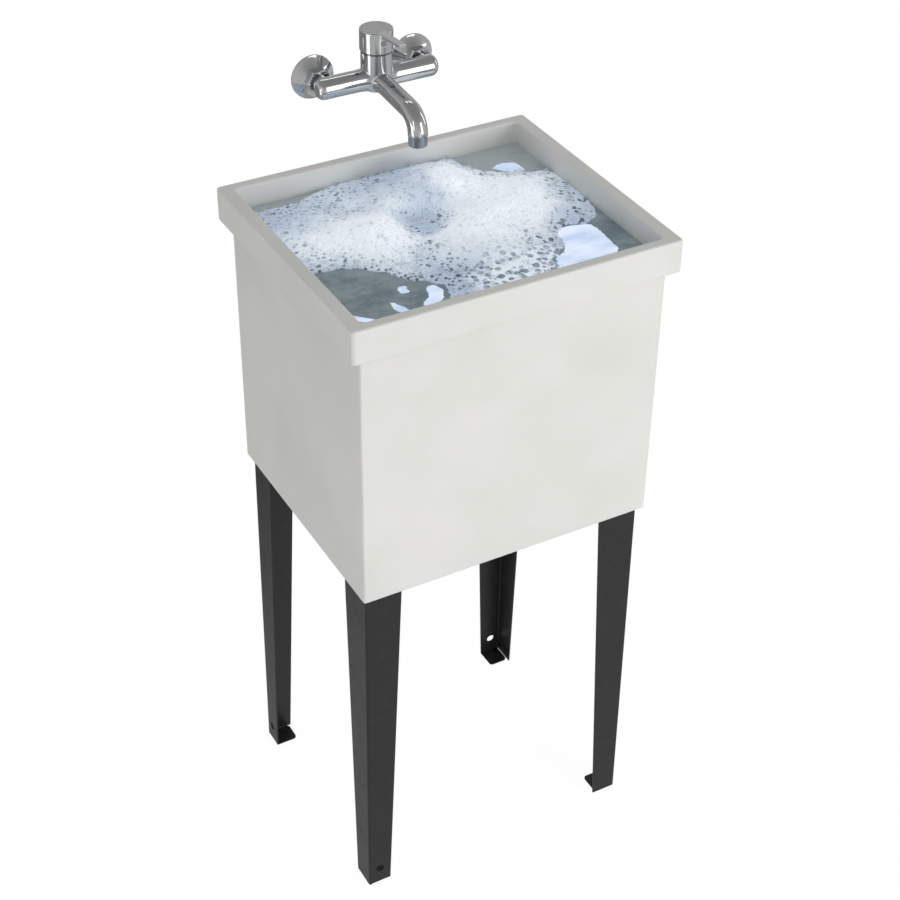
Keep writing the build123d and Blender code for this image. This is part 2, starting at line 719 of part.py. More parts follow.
def union_pieces(side):
    """The nut, the eccentric union and the rosette of one inlet."""
    x = side * inlet_spacing / 2
    with BuildPart() as nut:
        nut_end = collar_back + union_nut_end
        with BuildSketch(mixer_plane(x, union_nut_front, 0, z_dir=(0, 1, 0))):
            RegularPolygon(union_nut_flat, 6, major_radius=False)
        extrude(amount=nut_end - union_nut_front)
        with BuildSketch(mixer_plane(x, union_nut_front, 0, z_dir=(0, 1, 0))):
            Circle(boss_radius + thread_fit)
        extrude(amount=collar_back - union_nut_front, mode=Mode.SUBTRACT)
        with BuildSketch(mixer_plane(x, collar_back, 0, z_dir=(0, 1, 0))):
            Circle(union_neck_radius + thread_fit)
        extrude(amount=union_nut_end, mode=Mode.SUBTRACT)
    with BuildPart() as pipe:
        neck_back = collar_back + union_neck_length
        pipe_front = neck_back + union_step_length
        with BuildSketch(mixer_plane(x, boss_face, 0, z_dir=(0, 1, 0))):
            Circle(union_collar_radius)
        extrude(amount=union_collar_thickness)
        with BuildSketch(mixer_plane(x, collar_back, 0, z_dir=(0, 1, 0))):
            Circle(union_neck_radius)
        extrude(amount=union_neck_length)
        with BuildSketch(mixer_plane(x, neck_back, 0, z_dir=(0, 1, 0))):
            Circle(union_neck_radius)
        with BuildSketch(mixer_plane(x, pipe_front, inlet_rise, z_dir=(0, 1, 0))):
            Circle(union_pipe_radius)
        loft(ruled=True)
        with BuildSketch(mixer_plane(x, pipe_front, inlet_rise, z_dir=(0, 1, 0))):
            Circle(union_pipe_radius)
        extrude(amount=mixer_standoff - pipe_front)
        with BuildSketch(mixer_plane(x, mixer_standoff, inlet_rise, z_dir=(0, 1, 0))):
            Circle(union_tail_radius)
        extrude(amount=union_tail)
        with BuildSketch(mixer_plane(x, boss_face, inlet_rise / 2, z_dir=(0, 1, 0))):
            Circle(union_bore)
        extrude(amount=mixer_standoff + union_tail - boss_face, mode=Mode.SUBTRACT)
    with BuildPart() as rosette:
        hole = union_pipe_radius + rosette_fit
        front = mixer_standoff - rosette_depth
        back = mixer_standoff
        middle_radius = between(rosette_neck_radius, rosette_radius, rosette_waist)
        middle = (middle_radius, front + rosette_depth * rosette_waist)
        inner_middle = (middle[0] - rosette_shell / 2, middle[1] + rosette_shell)
        axis_origin = (mixer_offset_x + x, mixer_y, mixer_height + inlet_rise)
        with BuildSketch(mixer_plane(x, 0, inlet_rise)):
            with BuildLine():
                Polyline((hole, front + rosette_shell), (hole, front), (rosette_neck_radius, front))
                ThreePointArc((rosette_neck_radius, front), middle, (rosette_radius, back - rosette_rim))
                Polyline(
                    (rosette_radius, back - rosette_rim),
                    (rosette_radius, back),
                    (rosette_radius - rosette_shell, back),
                )
                ThreePointArc(
                    (rosette_radius - rosette_shell, back),
                    inner_middle,
                    (rosette_neck_radius - rosette_shell / 2, front + rosette_shell),
                )
                Line(
                    (rosette_neck_radius - rosette_shell / 2, front + rosette_shell),
                    (hole, front + rosette_shell),
                )
            make_face()
        revolve(axis=Axis(axis_origin, (0, 1, 0)))
    return nut, pipe, rosette


union_nut_left, union_left, rosette_left = union_pieces(-1)
union_nut_right, union_right, rosette_right = union_pieces(1)

with BuildPart() as union_washers:
    for side in (-1, 1):
        with BuildSketch(mixer_plane(side * inlet_spacing / 2, boss_reach, 0, z_dir=(0, 1, 0))):
            Circle(union_collar_radius)
            Circle(boss_bore, mode=Mode.SUBTRACT)
        extrude(amount=union_washer_thickness)

# ---- Cartridge: two ceramic discs, a turning head, and the stem that rocks in it on a pin ----------------
lip_bottom = cartridge_shell_top - chamber_lip
head_radius = chamber_radius - head_neck_fit
lip_radius = chamber_radius - chamber_lip
head_neck_radius = lip_radius - head_neck_fit


def cut_ports():
    """Cut the two inlets and the outlet out of the open sketch."""
    with Locations((-inlet_port_x, inlet_port_y), (inlet_port_x, inlet_port_y)):
        Circle(inlet_port_radius, mode=Mode.SUBTRACT)
    with Locations((0, outlet_port_y)):
        Circle(outlet_port_radius, mode=Mode.SUBTRACT)


with BuildPart() as cartridge_seal:
    with BuildSketch(mixer_plane(0, 0, cartridge_well_floor)):
        Circle(cartridge_radius - socket_fit)
        cut_ports()
    extrude(amount=cartridge_seal_thickness)

with BuildPart() as cartridge_base:
    with BuildSketch(mixer_plane(0, 0, base_bottom)):
        Circle(cartridge_radius)
        cut_ports()
    extrude(amount=cartridge_base_thickness)

with BuildPart() as cartridge_shell:
    with BuildSketch(VALVE_SECTION):
        Polygon(
            (chamber_radius, base_top),
            (cartridge_radius, base_top),
            (cartridge_radius, cartridge_shell_top),
            (lip_radius, cartridge_shell_top),
            (lip_radius, lip_bottom),
            (chamber_radius, lip_bottom),
            align=None,
        )
    revolve(axis=VALVE_AXIS)

with BuildPart() as fixed_disc:
    with BuildSketch(mixer_plane(0, 0, base_top)):
        Circle(head_radius)
        cut_ports()
    extrude(amount=disc_thickness)

with BuildPart() as moving_disc:
    with BuildSketch(mixer_plane(0, moving_disc_offset, moving_bottom)):
        Circle(moving_disc_radius)
    extrude(amount=moving_disc_thickness)
    with BuildSketch(mixer_plane(0, mixing_recess_y, moving_bottom)):
        RectangleRounded(mixing_recess_width, mixing_recess_length, mixing_recess_radius)
    extrude(amount=mixing_recess_depth, mode=Mode.SUBTRACT)

# The carrier glued on the moving disc, with the slot that the stem's tip pushes in.
with BuildPart() as disc_carrier:
    with BuildSketch(mixer_plane(0, moving_disc_offset, moving_top)):
        Circle(moving_disc_radius)
    extrude(amount=carrier_thickness)
    with BuildSketch(mixer_plane(0, -carrier_slot_shift, moving_top)):
        Rectangle(carrier_slot_width, carrier_slot_length)
    extrude(amount=carrier_thickness, mode=Mode.SUBTRACT)

with BuildPart() as turning_head:
    with BuildSketch(VALVE_SECTION):
        Polygon(
            (0, head_bottom),
            (head_radius, head_bottom),
            (head_radius, lip_bottom - disc_gap),
            (head_neck_radius, lip_bottom - disc_gap),
            (head_neck_radius, cartridge_shell_top),
            (0, cartridge_shell_top),
            align=None,
        )
    revolve(axis=VALVE_AXIS)
    with BuildSketch(mixer_plane(0, head_slot_shift, head_bottom)):
        Rectangle(head_slot_width, head_slot_length)
    extrude(amount=cartridge_shell_top - head_bottom, mode=Mode.SUBTRACT)
    with BuildSketch(mixer_plane(-head_radius, 0, pivot_height, z_dir=(1, 0, 0), x_dir=(0, 1, 0))):
        Circle(pin_radius + pin_fit)
    extrude(amount=2 * head_radius, mode=Mode.SUBTRACT)

with BuildPart() as stem_pin:
    with BuildSketch(mixer_plane(-pin_length / 2, 0, pivot_height, z_dir=(1, 0, 0), x_dir=(0, 1, 0))):
        Circle(pin_radius)
    extrude(amount=pin_length)

with BuildPart() as lever_stem:
    with BuildSketch(mixer_plane(0, 0, stem_tip_end)):
        Circle(stem_tip_radius)
    extrude(amount=stem_tip_length)
    with BuildSketch(mixer_plane(0, 0, stem_tip_end + stem_tip_length)):
        Circle(stem_radius)
    extrude(amount=stem_top - stem_tip_end - stem_tip_length)
    with BuildSketch(mixer_plane(-stem_radius, 0, pivot_height, z_dir=(1, 0, 0), x_dir=(0, 1, 0))):
        Circle(pin_radius + pin_fit)
    extrude(amount=2 * stem_radius, mode=Mode.SUBTRACT)

with BuildPart() as cartridge_nut:
    with BuildSketch(mixer_plane(0, 0, cartridge_shell_top)):
        Circle(cartridge_radius)
        Circle(cartridge_nut_opening, mode=Mode.SUBTRACT)
    extrude(amount=cartridge_nut_height)

# ---- Handle: a cap with a flared skirt, so that it rocks clear of the housing, and a flat lever ----------
with BuildPart() as lever_handle:
    with BuildSketch(VALVE_SECTION):
        Polygon(
            (0, cavity_top),
            (cap_cavity_radius, cavity_top),
            (cap_cavity_radius, cap_bottom + cap_flare_height),
            (cap_radius - cap_lip, cap_bottom),
            (cap_radius, cap_bottom),
            (cap_radius, cap_top),
            (0, cap_top),
            align=None,
        )
    revolve(axis=VALVE_AXIS)
    fillet(lever_handle.edges().group_by(Axis.Z)[-1], cap_edge_radius)
    with BuildSketch(mixer_plane(0, -lever_root, cap_top - lever_root_drop, z_dir=(0, -1, 0))):
        RectangleRounded(lever_root_width, lever_root_thickness, lever_root_corner)
    with BuildSketch(mixer_plane(0, -lever_reach, cap_top + lever_tip_rise, z_dir=(0, -1, 0))):
        RectangleRounded(lever_tip_width, lever_tip_thickness, lever_tip_corner)
    loft(ruled=True)
    with BuildSketch(mixer_plane(0, 0, cavity_top)):
        Circle(stem_radius + grub_fit)
    extrude(amount=stem_top - cavity_top, mode=Mode.SUBTRACT)
    with BuildSketch(mixer_plane(0, 0, grub_height, z_dir=(0, -1, 0))):
        Circle(grub_radius + grub_fit)
    extrude(amount=cap_radius, mode=Mode.SUBTRACT)
    with BuildSketch(mixer_plane(0, plug_thickness - cap_radius, grub_height, z_dir=(0, -1, 0))):
        Circle(plug_radius + grub_fit)
    extrude(amount=plug_thickness, mode=Mode.SUBTRACT)

with BuildPart() as lever_screw:
    with BuildSketch(mixer_plane(0, -stem_radius, grub_height, z_dir=(0, -1, 0))):
        Circle(grub_radius)
    extrude(amount=grub_length)
    with BuildSketch(mixer_plane(0, -stem_radius - grub_length, grub_height, z_dir=(0, 1, 0))):
        RegularPolygon(grub_radius / 2, 6)
    extrude(amount=grub_length / 2, mode=Mode.SUBTRACT)

with BuildPart() as index_plug:
    with BuildSketch(mixer_plane(0, plug_thickness - cap_radius, grub_height, z_dir=(0, -1, 0))):
        Circle(plug_radius)
    extrude(amount=plug_thickness + plug_proud)
    fillet(index_plug.edges().group_by(Axis.Y)[0], plug_proud)

# ---- Export ----------------------------------------------------------------------------------------------
PIECES = {
    "tub": tub,
    **legs,
    "leg_screws": leg_screws,
    "leg_washers": leg_washers,
    "drain_strainer": drain_strainer,
    "drain_seal": drain_seal,
    "drain_gasket": drain_gasket,
    "drain_locknut": drain_locknut,
    "tailpiece": tailpiece,
    "tailpiece_washer": tailpiece_washer,
    "tailpiece_nut": tailpiece_nut,
    "stopper": stopper,
    "mixer_body": mixer_body,
    "aerator_housing": aerator_housing,
    "aerator_insert": aerator_insert,
    "aerator_washer": aerator_washer,
    "union_nut_left": union_nut_left,
    "union_nut_right": union_nut_right,
    "union_left": union_left,
    "union_right": union_right,
    "union_washers": union_washers,
    "rosette_left": rosette_left,
    "rosette_right": rosette_right,
    "cartridge_seal": cartridge_seal,
    "cartridge_base": cartridge_base,
    "cartridge_shell": cartridge_shell,
    "fixed_disc": fixed_disc,
    "moving_disc": moving_disc,
    "disc_carrier": disc_carrier,
    "turning_head": turning_head,
    "stem_pin": stem_pin,
    "lever_stem": lever_stem,
    "cartridge_nut": cartridge_nut,
    "lever_handle": lever_handle,
    "lever_screw": lever_screw,
    "index_plug": index_plug,
}

os.makedirs("parts", exist_ok=True)
for name, piece in PIECES.items():
    piece.part.label = name
    export_step(piece.part, f"parts/{name}.step")
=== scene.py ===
"""Utility laundry sink: the finishes of its tub, legs, waste fitting and mixer tap, and the water
that stands in it.

Lengths are in metres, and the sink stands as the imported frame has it: its back at +y, its feet on
z = 0.
"""

import json
import math

import bpy
import numpy as np
from mathutils import Matrix, Vector, noise

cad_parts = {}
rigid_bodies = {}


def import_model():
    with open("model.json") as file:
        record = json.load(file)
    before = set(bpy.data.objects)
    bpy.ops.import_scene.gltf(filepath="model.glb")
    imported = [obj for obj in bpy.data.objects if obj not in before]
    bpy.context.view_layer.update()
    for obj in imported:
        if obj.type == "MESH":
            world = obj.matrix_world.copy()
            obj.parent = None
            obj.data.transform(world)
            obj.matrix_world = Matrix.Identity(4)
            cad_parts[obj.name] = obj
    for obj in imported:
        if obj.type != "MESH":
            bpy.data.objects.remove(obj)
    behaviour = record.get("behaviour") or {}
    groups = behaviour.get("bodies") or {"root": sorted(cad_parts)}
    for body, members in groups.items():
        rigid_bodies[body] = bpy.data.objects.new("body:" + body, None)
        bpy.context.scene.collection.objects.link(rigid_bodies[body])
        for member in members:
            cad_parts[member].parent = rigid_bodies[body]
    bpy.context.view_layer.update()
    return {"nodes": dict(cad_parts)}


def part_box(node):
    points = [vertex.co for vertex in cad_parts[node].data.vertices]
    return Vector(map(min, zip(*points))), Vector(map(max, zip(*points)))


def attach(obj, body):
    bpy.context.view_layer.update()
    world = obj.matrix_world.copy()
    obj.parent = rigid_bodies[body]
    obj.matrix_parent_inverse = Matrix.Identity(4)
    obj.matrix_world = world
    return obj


for startup_object in list(bpy.data.objects):
    bpy.data.objects.remove(startup_object)

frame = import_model()

MM = 0.001

# The inside of the basin at the height of the water.
WATER_LEVEL = 0.884
BASIN_CENTRE_Y = -0.015
BASIN_HALF_WIDTH = 0.1975
BASIN_HALF_DEPTH = 0.1695

# The mixer's tube lies this far above the spout's mouth. Near the valve's axis the casting's
# corners are eased: not at all outside the first radius and height, and fully inside the second.
# The painted shadow under the cap begins at the first height above the tube, and is full at the
# second.
SPOUT_DROP = 0.043
JOINT_RADIUS = (0.038, 0.030)
JOINT_HEIGHT = (0.023, 0.016)
CAP_SEAM_SHADOW = (0.0342, 0.0349)

# Thread ridges: the radius that they are wound on, the pitch and the ridge's own radius.
BARREL_THREAD = (24.0 * MM, 2.0 * MM, 0.55 * MM)
PIPE_THREAD = (10.3 * MM, 1.814 * MM, 0.5 * MM)
# What each kind of thread keeps clear of its neighbours.
BARREL_GAP = 1.2 * MM
PIPE_GAP = 1.5 * MM

# The aerator's screen: its radius, the distance between wires, a wire's radius, and how far it lies
# inside the mouth.
SCREEN_RADIUS = 7.2 * MM
SCREEN_MESH = 0.85 * MM
SCREEN_WIRE = 0.13 * MM
SCREEN_DEPTH = 1.0 * MM


class Field:
    """What a node gives out. Arithmetic written on numbers adds the Math nodes that work it out."""

    def __init__(self, nodes, socket):
        self.nodes = nodes
        self.socket = socket

    def math(self, operation, first, second):
        return self.nodes.math(operation, first, second)

    def __add__(self, other):
        return self.math("ADD", self, other)

    def __radd__(self, other):
        return self.math("ADD", other, self)

    def __sub__(self, other):
        return self.math("SUBTRACT", self, other)

    def __rsub__(self, other):
        return self.math("SUBTRACT", other, self)

    def __mul__(self, other):
        return self.math("MULTIPLY", self, other)

    def __rmul__(self, other):
        return self.math("MULTIPLY", other, self)

    def __pow__(self, other):
        return self.math("POWER", self, other)

    def __rpow__(self, other):
        return self.math("POWER", other, self)


class Nodes:
    """A tree of nodes, and the one way in which nodes are put into it."""

    def __init__(self, tree):
        self.tree = tree

    def add(self, kind, settings=None, inputs=None, output=0):
        """A node of that kind: its settings, then the values or links of its inputs."""
        node = self.tree.nodes.new(kind)
        for name, value in (settings or {}).items():
            setattr(node, name, value)
        for name, value in (inputs or {}).items():
            for each in value if isinstance(value, list) else [value]:
                if isinstance(each, Field):
                    self.tree.links.new(each.socket, node.inputs[name])
                else:
                    node.inputs[name].default_value = each
        return Field(self, node.outputs[output]) if node.outputs else node

    def math(self, operation, first, second=0.0):
        return self.add("ShaderNodeMath", {"operation": operation}, {0: first, 1: second})

    def place(self, scale=(1.0, 1.0, 1.0), turn=(0.0, 0.0, 0.0), shift=(0.0, 0.0, 0.0)):
        """The spot on the object in metres, stretched, turned or shifted for a pattern."""
        spot = self.add("ShaderNodeTexCoord", output="Object")
        inputs = {"Vector": spot, "Scale": scale, "Rotation": turn, "Location": shift}
        return self.add("ShaderNodeMapping", inputs=inputs)

    def cloud(self, spot, scale, detail=3.0, roughness=0.5):
        """Noise from 0 to 1."""
        inputs = {"Vector": spot, "Scale": scale, "Detail": detail, "Roughness": roughness}
        return self.add("ShaderNodeTexNoise", inputs=inputs)

    def cells(self, spot, scale):
        """How far the spot is from the middle of its cell, in cells."""
        inputs = {"Vector": spot, "Scale": scale}
        return self.add("ShaderNodeTexVoronoi", inputs=inputs, output="Distance")

    def step(self, value, low, high):
        """0 below low and 1 above high, smooth between them."""
        inputs = {"Value": value, "From Min": low, "From Max": high}
        return self.add("ShaderNodeMapRange", {"interpolation_type": "SMOOTHSTEP"}, inputs)

    def blend(self, share, first, second):
        """A colour that goes from first to second as share goes from 0 to 1."""
        return self.add("ShaderNodeMix", {"data_type": "RGBA"}, {0: share, 6: first, 7: second}, 2)

    def relief(self, height, depth, strength, normal=None):
        """The surface's direction as the height bends it, on top of normal."""
        inputs = {"Height": height, "Distance": depth, "Strength": strength}
        if normal:
            inputs["Normal"] = normal
        return self.add("ShaderNodeBump", inputs=inputs)

    def sample(self, name):
        """A number that the mesh keeps at each of its points."""
        return self.add("ShaderNodeAttribute", {"attribute_name": name}, output="Fac")

    def axis_distance(self, spot):
        """How far a spot is from the upright axis through the pattern's origin."""
        inputs = {0: spot, 1: (1.0, 1.0, 0.0)}
        flat = self.add("ShaderNodeVectorMath", {"operation": "MULTIPLY"}, inputs)
        return self.add("ShaderNodeVectorMath", {"operation": "LENGTH"}, {0: flat}, "Value")

    def part_of(self, spot, letter):
        """One of a spot's three numbers."""
        return self.add("ShaderNodeSeparateXYZ", inputs={0: spot}, output=letter)

    def eased(self, radius, samples=8):
        """The surface's direction, its corners eased over radius as casting leaves them."""
        return self.add("ShaderNodeBevel", {"samples": samples}, {"Radius": radius})

    def crease(self, reach):
        """1 in the open and less in a corner, over reach."""
        return self.add("ShaderNodeAmbientOcclusion", {"samples": 6}, {"Distance": reach}, "AO")


def colour(red, green, blue):
    """A colour read off a screen, from 0 to 255, as the light that it stands for."""

    def light(level):
        level = level / 255
        return level / 12.92 if level <= 0.04045 else ((level + 0.055) / 1.055) ** 2.4

    return (light(red), light(green), light(blue), 1.0)


class Finish(Nodes):
    """One material: its shader, with the numbers that are the same all over, and its nodes."""

    def __init__(self, name, **constants):
        self.material = bpy.data.materials.new(name)
        self.material.use_nodes = True
        super().__init__(self.material.node_tree)
        self.shader = self.tree.nodes["Principled BSDF"]
        for name, value in constants.items():
            self.shader.inputs[name.replace("_", " ")].default_value = value

    def wear(self, **surface):
        """Links what changes over the surface to the shader."""
        for name, value in surface.items():
            self.tree.links.new(value.socket, self.shader.inputs[name.replace("_", " ")])
        return self.material


def middle_of(node_name):
    """The middle of a node's box."""
    low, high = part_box(node_name)
    return tuple((first + second) / 2 for first, second in zip(low, high))


def moulded_tub():
    """White satin plastic: clouds, a fine grain, sides that aren't quite flat, scuffs, and painted
    shade in its corners."""
    skin = Finish("tub_moulding", IOR=1.49)
    spot = skin.place()
    clouds = skin.cloud(spot, 7.0, 4.0)
    patches = skin.cloud(spot, 38.0, 3.0, 0.6)
    scratches = skin.cloud(skin.place((40.0, 900.0, 60.0), (0.0, 0.3, 0.5)), 1.0, 3.0, 0.7)
    scuffed = skin.step(scratches, 0.66, 0.74) * skin.step(patches, 0.5, 0.62)
    white = skin.blend(skin.step(clouds, 0.3, 0.75), colour(236, 235, 231), colour(228, 228, 223))
    # Painted shade: the white is darkened in its corners and creases.
    crease = 1.0 - skin.crease(0.012)
    corner_shaded = skin.blend(skin.step(crease, 0.25, 0.95) * 0.35, white, colour(188, 187, 178))
    base = skin.blend(scuffed * 0.22, corner_shaded, colour(196, 197, 193))
    grain = skin.cloud(spot, 1500.0, 2.0)
    waves = skin.cloud(spot, 11.0, 1.0)
    bent = skin.relief(waves, 0.0012, 0.5, skin.eased(0.0012))
    return skin.wear(
        Base_Color=base,
        Roughness=0.34 + clouds * 0.12 + scuffed * 0.2,
        Normal=skin.relief(grain, 0.00006, 0.35, bent),
    )


def leg_enamel():
    """Black baked enamel on sheet steel: orange peel, pale specks and a little dust."""
    skin = Finish("leg_enamel", IOR=1.5)
    spot = skin.place()
    clouds = skin.cloud(spot, 16.0, 4.0)
    specks = skin.step(skin.cloud(spot, 900.0, 2.0, 0.7), 0.66, 0.74)
    dusty = skin.step(skin.cloud(spot, 60.0, 4.0, 0.7), 0.5, 0.72)
    black = skin.blend(clouds, colour(25, 25, 25), colour(32, 32, 31))
    worn = skin.blend(specks * 0.2 + dusty * 0.08, black, colour(104, 102, 97))
    peel = skin.cloud(spot, 420.0, 2.0)
    return skin.wear(
        Base_Color=worn,
        Roughness=0.36 + clouds * 0.12 + dusty * 0.1,
        Normal=skin.relief(peel, 0.00012, 0.35, skin.eased(0.0006)),
    )


def polished_chrome(name, easing, joint=None):
    """Chrome plate: bright, with faint polishing waves, smears, dried water spots and painted shade
    in its seams. joint is the place where a casting's arms meet; there a painted shadow also lies
    under the cap."""
    skin = Finish(name, Metallic=1.0)
    spot = skin.place()
    smears = skin.step(skin.cloud(spot, 42.0, 4.0, 0.65), 0.45, 0.75)
    splashed = skin.step(skin.cloud(spot, 55.0), 0.56, 0.62)
    spots = skin.step(skin.cells(spot, 130.0), 0.2, 0.12) * splashed
    plate = skin.blend(smears, colour(206, 207, 208), colour(194, 195, 197))
    # Painted shade: darker in seams and in the corners between parts.
    seam_shade = skin.step(1.0 - skin.crease(0.009), 0.2, 0.62) * 0.8
    spotted = skin.blend(spots * 0.2, plate, colour(170, 170, 168))
    shaded_plate = skin.blend(seam_shade, spotted, colour(52, 52, 54))
    polish = skin.cloud(spot, 24.0, 1.0)
    facing = skin.eased(easing, 16 if joint else 8)
    if joint:
        from_joint = skin.place(shift=tuple(-each for each in joint))
        height = skin.part_of(from_joint, "Z")
        near = skin.step(skin.axis_distance(from_joint), *JOINT_RADIUS)
        near = near * skin.step(skin.math("ABSOLUTE", height), *JOINT_HEIGHT)
        plain = skin.add("ShaderNodeNewGeometry", output="Normal")
        inputs = {0: near, 4: plain, 5: facing}
        facing = skin.add("ShaderNodeMix", {"data_type": "VECTOR"}, inputs, 1)
        # Painted shadow: a dark band on the casting just under the cap.
        shaded_plate = skin.blend(skin.step(height, *CAP_SEAM_SHADOW) * 0.7, shaded_plate, colour(52, 52, 54))
    return skin.wear(
        Base_Color=shaded_plate,
        Roughness=0.07 + smears * 0.06 + spots * 0.12,
        Normal=skin.relief(polish, 0.0006, 0.2, facing),
    )


def turned_metal(name, bright, dull, turned_node, roughness):
    """Metal finished on a lathe, with fine rings round the upright axis of that node."""
    skin = Finish(name, Metallic=1.0)
    axis_x, axis_y, _ = middle_of(turned_node)
    spot = skin.place(shift=(-axis_x, -axis_y, 0.0))
    inputs = {"W": skin.axis_distance(spot), "Scale": 2600.0, "Detail": 2.0}
    rings = skin.add("ShaderNodeTexNoise", {"noise_dimensions": "1D"}, inputs)
    clouds = skin.cloud(spot, 70.0, 3.0)
    return skin.wear(
        Base_Color=skin.blend(clouds * 0.6 + rings * 0.4, bright, dull),
        Roughness=roughness + rings * 0.14 + clouds * 0.1,
        Normal=skin.relief(rings, 0.00006, 0.4, skin.eased(0.0003)),
    )


def plated_steel():
    """Zinc plate on screws and washers: pale, with a bluish and a yellowish bloom."""
    skin = Finish("zinc_plate", Metallic=1.0)
    spot = skin.place()
    bloom = skin.cloud(spot, 160.0, 3.0)
    grains = skin.cells(spot, 900.0)
    pale = skin.blend(bloom, colour(176, 181, 188), colour(196, 192, 178))
    return skin.wear(
        Base_Color=skin.blend(skin.step(grains, 0.2, 0.8) * 0.3, pale, colour(150, 152, 154)),
        Roughness=0.3 + grains * 0.2,
        Normal=skin.relief(grains, 0.00005, 0.3),
    )


def raw_brass():
    """Machined brass that has gone brown in places."""
    skin = Finish("raw_brass", Metallic=1.0)
    spot = skin.place()
    tarnish = skin.step(skin.cloud(spot, 90.0, 4.0, 0.65), 0.4, 0.75)
    cuts = skin.cloud(skin.place((300.0, 300.0, 4000.0)), 1.0, 2.0)
    return skin.wear(
        Base_Color=skin.blend(tarnish, colour(209, 178, 108), colour(150, 118, 66)),
        Roughness=0.22 + tarnish * 0.25,
        Normal=skin.relief(cuts, 0.00004, 0.5),
    )


def soft_seal(name, base, chalk, grain_size):
    """Rubber or fibre: dull, with a bloom and a grain."""
    skin = Finish(name, IOR=1.5)
    spot = skin.place()
    bloom = skin.step(skin.cloud(spot, 120.0, 4.0, 0.6), 0.45, 0.8)
    grain = skin.cloud(spot, 1.0 / grain_size, 3.0, 0.7)
    return skin.wear(
        Base_Color=skin.blend(bloom * 0.5 + grain * 0.15, base, chalk),
        Roughness=0.55 + bloom * 0.25,
        Normal=skin.relief(grain, 0.0001, 0.5),
    )


def plain_moulding(name, base, second, roughness):
    """A small injection moulding: even colour with faint flow marks and a spark-eroded grain."""
    skin = Finish(name, IOR=1.48)
    spot = skin.place()
    flow = skin.cloud(skin.place((25.0, 25.0, 90.0)), 1.0, 3.0)
    grain = skin.cloud(spot, 2200.0, 2.0)
    return skin.wear(
        Base_Color=skin.blend(flow, base, second),
        Roughness=roughness + flow * 0.12,
        Normal=skin.relief(grain, 0.00004, 0.4, skin.eased(0.0003)),
    )


def lapped_ceramic():
    """Alumina of the sealing discs: ivory, lapped flat, with fine pores."""
    skin = Finish("lapped_ceramic", IOR=1.76)
    spot = skin.place()
    pores = skin.step(skin.cells(spot, 1400.0), 0.16, 0.05)
    tone = skin.cloud(spot, 90.0, 3.0)
    ivory = skin.blend(tone, colour(243, 240, 232), colour(233, 229, 218))
    return skin.wear(
        Base_Color=skin.blend(pores * 0.5, ivory, colour(190, 184, 172)),
        Roughness=0.12 + pores * 0.3 + tone * 0.06,
    )


# The two colours that each of the plainer finishes goes between.
STRAINER_STEEL = colour(205, 206, 207), colour(180, 181, 181)
AERATOR_CHROME = colour(190, 192, 195), colour(158, 160, 164)
RUBBER = colour(32, 32, 33), colour(72, 71, 70)
FIBRE = colour(150, 62, 48), colour(178, 104, 84)
WHITE_FITTING = colour(232, 231, 225), colour(222, 221, 214)
ACETAL = colour(222, 222, 214), colour(212, 213, 206)
AERATOR_PLASTIC = colour(108, 112, 118), colour(92, 96, 103)
PLUG_PLASTIC = colour(132, 134, 136), colour(120, 122, 124)

# The finish of each of the sink's materials, and of the two nodes that have one of their own.
finishes = {
    "tub_plastic": moulded_tub(),
    "leg_enamel": leg_enamel(),
    "zinc_steel": plated_steel(),
    "drain_steel": turned_metal("drain_steel", *STRAINER_STEEL, "drain_strainer", 0.18),
    "chrome": polished_chrome("chrome_plate", 0.0006),
    "brass": raw_brass(),
    "black_rubber": soft_seal("black_rubber", *RUBBER, 0.0012),
    "fibre_seal": soft_seal("fibre_seal", *FIBRE, 0.0005),
    "white_plastic": plain_moulding("white_fitting", *WHITE_FITTING, 0.38),
    "acetal": plain_moulding("acetal", *ACETAL, 0.3),
    "grey_plastic": plain_moulding("aerator_plastic", *AERATOR_PLASTIC, 0.34),
    "alumina": lapped_ceramic(),
    "plug_plastic": plain_moulding("index_plug", *PLUG_PLASTIC, 0.22),
}
valve_x, valve_y, _ = middle_of("cartridge_nut")
tube_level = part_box("aerator_housing")[0].z + SPOUT_DROP
own_finishes = {
    "mixer_body": polished_chrome("cast_chrome", 0.0035, (valve_x, valve_y, tube_level)),
    "aerator_housing": turned_metal("aerator_chrome", *AERATOR_CHROME, "aerator_housing", 0.08),
}

for name, node in frame["nodes"].items():
    for place in node.material_slots:
        place.material = own_finishes.get(name) or finishes[place.material.name]


